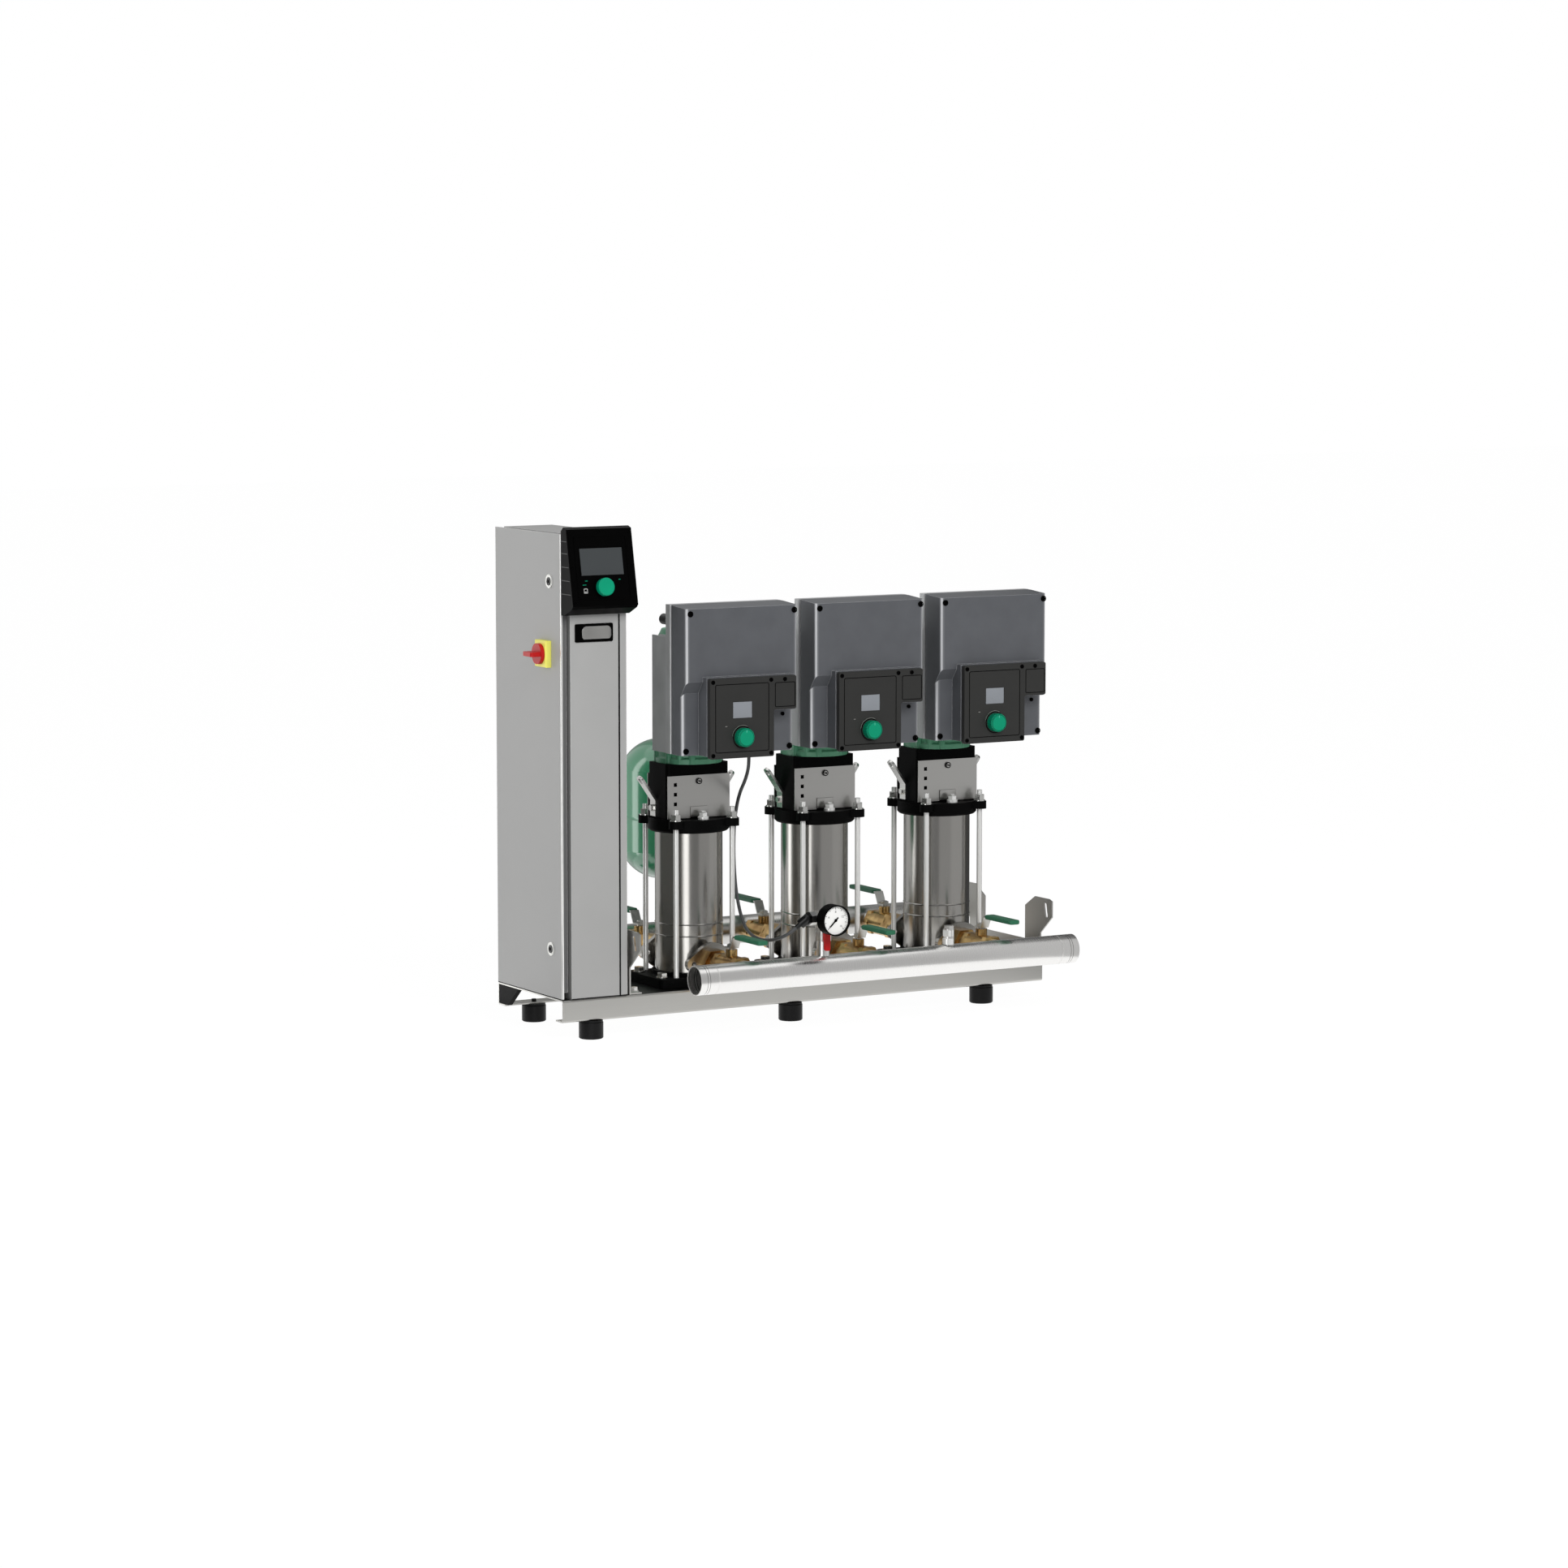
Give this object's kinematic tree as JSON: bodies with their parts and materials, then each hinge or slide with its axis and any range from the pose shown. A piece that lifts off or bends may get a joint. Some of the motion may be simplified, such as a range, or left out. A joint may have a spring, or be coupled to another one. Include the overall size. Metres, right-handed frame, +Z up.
{
  "type": "booster pump set",
  "caption": "Pressure booster set: vertical multistage pumps with speed converters between two pipe headers, on a base with a control cabinet.",
  "frame": {"origin": "on the floor, under the middle of the set's length and depth", "axes": "+X along the headers from the cabinet to the last pump, +Y from the display side to the back, +Z up"},
  "size_m": [1.19, 0.7505, 1.038],
  "materials": {
    "grey_sheet": "satin light grey coated sheet",
    "base_sheet": "satin zinc-coated sheet",
    "rubber": "matt black rubber",
    "zinc": "bright zinc-plated or stainless small parts",
    "stainless": "brushed stainless steel",
    "yellow_plastic": "signal yellow plastic",
    "red_plastic": "red plastic",
    "green_plastic": "green plastic",
    "black_plastic": "fine-grained black plastic",
    "panel_plastic": "dark grey plastic",
    "screen": "dark display pane",
    "switchgear": "light grey plastic on a plated plate",
    "black_cast": "black painted cast iron",
    "motor_green": "dark green paint on cast aluminium",
    "heatsink": "bare cast aluminium",
    "converter_grey": "dark grey paint on cast aluminium",
    "lever_steel": "plated steel arm with a green grip sleeve",
    "brass": "cast and machined brass",
    "vessel_green": "gloss green paint",
    "cable": "grey cable jacket"
  },
  "bodies": {
    "frame": {"base_end_bracket": "black_plastic", "base_frame": "base_sheet", "cabinet_body": "grey_sheet", "cabinet_stand": "grey_sheet", "converter_heatsinks": "heatsink", "coupling_guards": "stainless", "display_housing": "black_plastic", "display_screen": "screen", "front_header": "stainless", "gauge_case": "black_plastic", "lifting_ears": "zinc", "lug_plates": "base_sheet", "pressure_sensor": "black_plastic", "pressure_vessel": "vessel_green", "pump_1_control_panel": "panel_plastic", "pump_1_converter_cover": "converter_grey", "pump_1_foot": "black_cast", "pump_1_head": "black_cast", "pump_1_motor": "motor_green", "pump_1_shell": "stainless", "pump_2_control_panel": "panel_plastic", "pump_2_converter_cover": "converter_grey", "pump_2_foot": "black_cast", "pump_2_head": "black_cast", "pump_2_motor": "motor_green", "pump_2_shell": "stainless", "pump_3_control_panel": "panel_plastic", "pump_3_converter_cover": "converter_grey", "pump_3_foot": "black_cast", "pump_3_head": "black_cast", "pump_3_motor": "motor_green", "pump_3_shell": "stainless", "pump_fasteners": "zinc", "rear_header": "stainless", "rubber_buffers": "rubber", "sensor_cable": "cable", "switchgear": "switchgear", "tie_rods": "zinc", "valve_bodies": "brass"},
    "door": {"cabinet_door": "grey_sheet", "main_switch_plate": "yellow_plastic"},
    "upper_lock": {"door_lock_upper": "zinc"},
    "lower_lock": {"door_lock_lower": "zinc"},
    "switch_handle": {"main_switch_handle": "red_plastic"},
    "display_knob": {"display_knob": "green_plastic"},
    "gauge_needle": {"gauge_needle": "black_plastic"},
    "gauge_cock": {"gauge_cock": "red_plastic"},
    "pump_1_rotor": {"pump_1_rotor": "stainless"},
    "pump_1_knob": {"pump_1_knob": "green_plastic"},
    "pump_1_front_lever": {"pump_1_front_lever": "lever_steel"},
    "pump_1_rear_lever": {"pump_1_rear_lever": "lever_steel"},
    "pump_2_rotor": {"pump_2_rotor": "stainless"},
    "pump_2_knob": {"pump_2_knob": "green_plastic"},
    "pump_2_front_lever": {"pump_2_front_lever": "lever_steel"},
    "pump_2_rear_lever": {"pump_2_rear_lever": "lever_steel"},
    "pump_3_rotor": {"pump_3_rotor": "stainless"},
    "pump_3_knob": {"pump_3_knob": "green_plastic"},
    "pump_3_front_lever": {"pump_3_front_lever": "lever_steel"},
    "pump_3_rear_lever": {"pump_3_rear_lever": "lever_steel"}
  },
  "joints": [
    {"name": "cabinet_door_hinge", "type": "hinge", "parent": "frame", "child": "door", "pos_m": [-0.546, 0.14775, 0.555], "axis": [0, 0, -1], "range_deg": [0, 100]},
    {"name": "upper_lock_turn", "type": "hinge", "parent": "door", "child": "upper_lock", "pos_m": [-0.552, -0.08625, 0.927], "axis": [1, 0, 0], "range_deg": [0, 90]},
    {"name": "lower_lock_turn", "type": "hinge", "parent": "door", "child": "lower_lock", "pos_m": [-0.552, -0.08625, 0.1835], "axis": [1, 0, 0], "range_deg": [0, 90]},
    {"name": "main_switch_turn", "type": "hinge", "parent": "door", "child": "switch_handle", "pos_m": [-0.552, -0.06825, 0.781], "axis": [1, 0, 0], "range_deg": [0, 90]},
    {"name": "display_knob_turn", "type": "hinge", "parent": "frame", "child": "display_knob", "pos_m": [-0.4785, -0.1811, 0.91823], "axis": [0, -0.9811, 0.1936], "continuous": true},
    {"name": "pump_1_shaft_turn", "type": "hinge", "parent": "frame", "child": "pump_1_rotor", "pos_m": [-0.201, -0.02425, 0.534], "axis": [0, 0, 1], "continuous": true},
    {"name": "pump_1_knob_turn", "type": "hinge", "parent": "frame", "child": "pump_1_knob", "pos_m": [-0.21, -0.26725, 0.612], "axis": [0, -1, 0], "continuous": true},
    {"name": "pump_1_front_valve_turn", "type": "hinge", "parent": "frame", "child": "pump_1_front_lever", "pos_m": [-0.201, -0.20425, 0.134], "axis": [0, 0, -1], "range_deg": [0, 90]},
    {"name": "pump_1_rear_valve_turn", "type": "hinge", "parent": "frame", "child": "pump_1_rear_lever", "pos_m": [-0.201, 0.18975, 0.134], "axis": [0, 0, 1], "range_deg": [0, 90]},
    {"name": "pump_2_shaft_turn", "type": "hinge", "parent": "frame", "child": "pump_2_rotor", "pos_m": [0.099, -0.02425, 0.534], "axis": [0, 0, 1], "continuous": true},
    {"name": "pump_2_knob_turn", "type": "hinge", "parent": "frame", "child": "pump_2_knob", "pos_m": [0.09, -0.26725, 0.612], "axis": [0, -1, 0], "continuous": true},
    {"name": "pump_2_front_valve_turn", "type": "hinge", "parent": "frame", "child": "pump_2_front_lever", "pos_m": [0.099, -0.20425, 0.134], "axis": [0, 0, -1], "range_deg": [0, 90]},
    {"name": "pump_2_rear_valve_turn", "type": "hinge", "parent": "frame", "child": "pump_2_rear_lever", "pos_m": [0.099, 0.18975, 0.134], "axis": [0, 0, 1], "range_deg": [0, 90]},
    {"name": "pump_3_shaft_turn", "type": "hinge", "parent": "frame", "child": "pump_3_rotor", "pos_m": [0.399, -0.02425, 0.534], "axis": [0, 0, 1], "continuous": true},
    {"name": "pump_3_knob_turn", "type": "hinge", "parent": "frame", "child": "pump_3_knob", "pos_m": [0.39, -0.26725, 0.612], "axis": [0, -1, 0], "continuous": true},
    {"name": "pump_3_front_valve_turn", "type": "hinge", "parent": "frame", "child": "pump_3_front_lever", "pos_m": [0.399, -0.20425, 0.134], "axis": [0, 0, -1], "range_deg": [0, 90]},
    {"name": "pump_3_rear_valve_turn", "type": "hinge", "parent": "frame", "child": "pump_3_rear_lever", "pos_m": [0.399, 0.18975, 0.134], "axis": [0, 0, 1], "range_deg": [0, 90]},
    {"name": "gauge_needle_turn", "type": "hinge", "parent": "frame", "child": "gauge_needle", "pos_m": [-0.053, -0.36925, 0.241], "axis": [0, 1, 0], "range_deg": [0, 270], "stiffness_Nm_per_rad": 0.001},
    {"name": "gauge_cock_turn", "type": "hinge", "parent": "frame", "child": "gauge_cock", "pos_m": [-0.053, -0.33325, 0.207], "axis": [0, -1, 0], "range_deg": [0, 90]}
  ]
}
